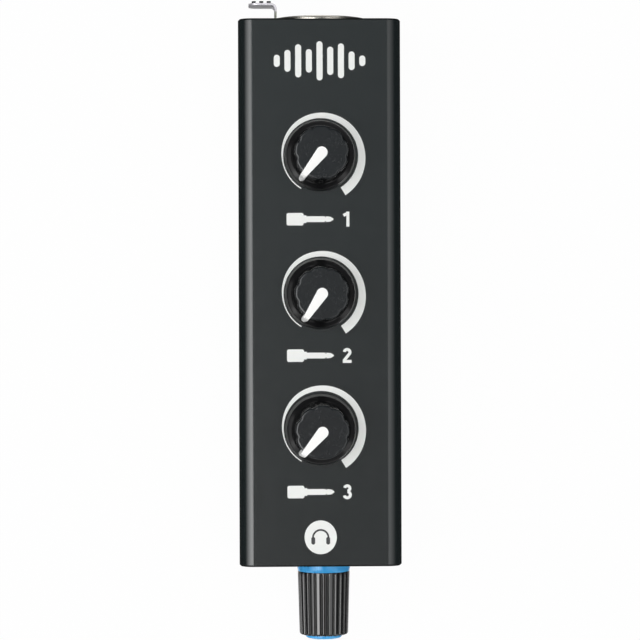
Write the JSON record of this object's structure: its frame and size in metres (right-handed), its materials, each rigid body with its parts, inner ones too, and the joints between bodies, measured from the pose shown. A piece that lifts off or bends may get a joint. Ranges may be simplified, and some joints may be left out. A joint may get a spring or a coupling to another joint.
{
  "type": "personal monitor mixer",
  "caption": "Pocket audio mixer in a slim metal box, with rotary input dials on its front, a ribbed volume knob at one end and a latching combination socket at the other.",
  "frame": {"origin": "centre of the rear face, on which the part lies", "axes": "+Z out of the front panel, +Y toward the combination socket's end, +X to the right as the panel is read"},
  "size_m": [0.0406, 0.1617, 0.0512],
  "materials": {
    "case_paint": "satin dark grey powder coat on aluminium",
    "screw_black": "black oxide",
    "board_green": "solder mask",
    "chip_black": "moulded epoxy",
    "capacitor_sleeve": "printed sleeve",
    "pot_metal": "plated",
    "nut_nickel": "nickel plated",
    "knob_black": "black, glossy skirt and satin top",
    "pointer_white": "white insert",
    "volume_black": "glossy black ribs",
    "accent_blue": "bright blue",
    "socket_black": "glass-filled nylon",
    "socket_nickel": "nickel plated",
    "contact_gold": "gold flashed",
    "latch_steel": "nickel plated sheet",
    "spring_steel": "music wire",
    "light_lens": "clear lens",
    "cell_foil": "laminated foil",
    "foam": "double-sided foam tape",
    "lead_red": "insulated wire",
    "plug_cream": "moulded nylon"
  },
  "bodies": {
    "case": {"front_shell": "case_paint", "rear_cover": "case_paint", "top_end_plate": "case_paint", "bottom_end_plate": "case_paint", "top_plate_screws": "screw_black", "bottom_plate_screws": "screw_black", "main_board": "board_green", "board_chips": "chip_black", "board_capacitors": "capacitor_sleeve", "pot_1": "pot_metal", "pot_2": "pot_metal", "pot_3": "pot_metal", "pot_washers": "nut_nickel", "pot_nuts": "nut_nickel", "volume_pot": "pot_metal", "volume_washer": "nut_nickel", "volume_nut": "nut_nickel", "socket_housing": "socket_black", "socket_bezel": "socket_nickel", "socket_insert": "socket_black", "socket_pins": "contact_gold", "socket_springs": "contact_gold", "socket_screws": "screw_black", "latch_spring": "spring_steel", "line_jack": "socket_black", "line_jack_ferrule": "socket_nickel", "line_jack_contacts": "contact_gold", "aux_jack": "socket_black", "aux_jack_contacts": "contact_gold", "phones_jack": "socket_black", "phones_jack_contacts": "contact_gold", "usb_shell": "socket_nickel", "usb_tongue": "socket_black", "charge_light": "light_lens", "battery": "cell_foil", "battery_tape": "foam", "battery_leads": "lead_red", "battery_plug": "plug_cream"},
    "input_dial_1": {"pot_shaft_1": "pot_metal", "input_knob_1": "knob_black", "pointer_1": "pointer_white"},
    "input_dial_2": {"pot_shaft_2": "pot_metal", "input_knob_2": "knob_black", "pointer_2": "pointer_white"},
    "input_dial_3": {"pot_shaft_3": "pot_metal", "input_knob_3": "knob_black", "pointer_3": "pointer_white"},
    "volume_dial": {"volume_shaft": "pot_metal", "volume_knob": "volume_black", "volume_collar": "accent_blue", "volume_cap": "accent_blue"},
    "push_latch": {"latch": "latch_steel"}
  },
  "joints": [
    {"name": "input_1_turn", "type": "hinge", "parent": "case", "child": "input_dial_1", "pos_m": [0, 0.0339, 0.036], "axis": [0, 0, -1], "range_deg": [-8.6, 291.4]},
    {"name": "input_2_turn", "type": "hinge", "parent": "case", "child": "input_dial_2", "pos_m": [0, -0.0003, 0.036], "axis": [0, 0, -1], "range_deg": [-3.4, 296.6]},
    {"name": "input_3_turn", "type": "hinge", "parent": "case", "child": "input_dial_3", "pos_m": [0, -0.0339, 0.036], "axis": [0, 0, -1], "range_deg": [-10.7, 289.3]},
    {"name": "volume_turn", "type": "hinge", "parent": "case", "child": "volume_dial", "pos_m": [0.0012, -0.0675, 0.018], "axis": [0, 1, 0], "range_deg": [0, 300]},
    {"name": "latch_push", "type": "slide", "parent": "case", "child": "push_latch", "axis": [0, -1, 0], "range_m": [0, 0.002], "stiffness_N_per_m": 400, "deforming": ["latch_spring"]}
  ]
}
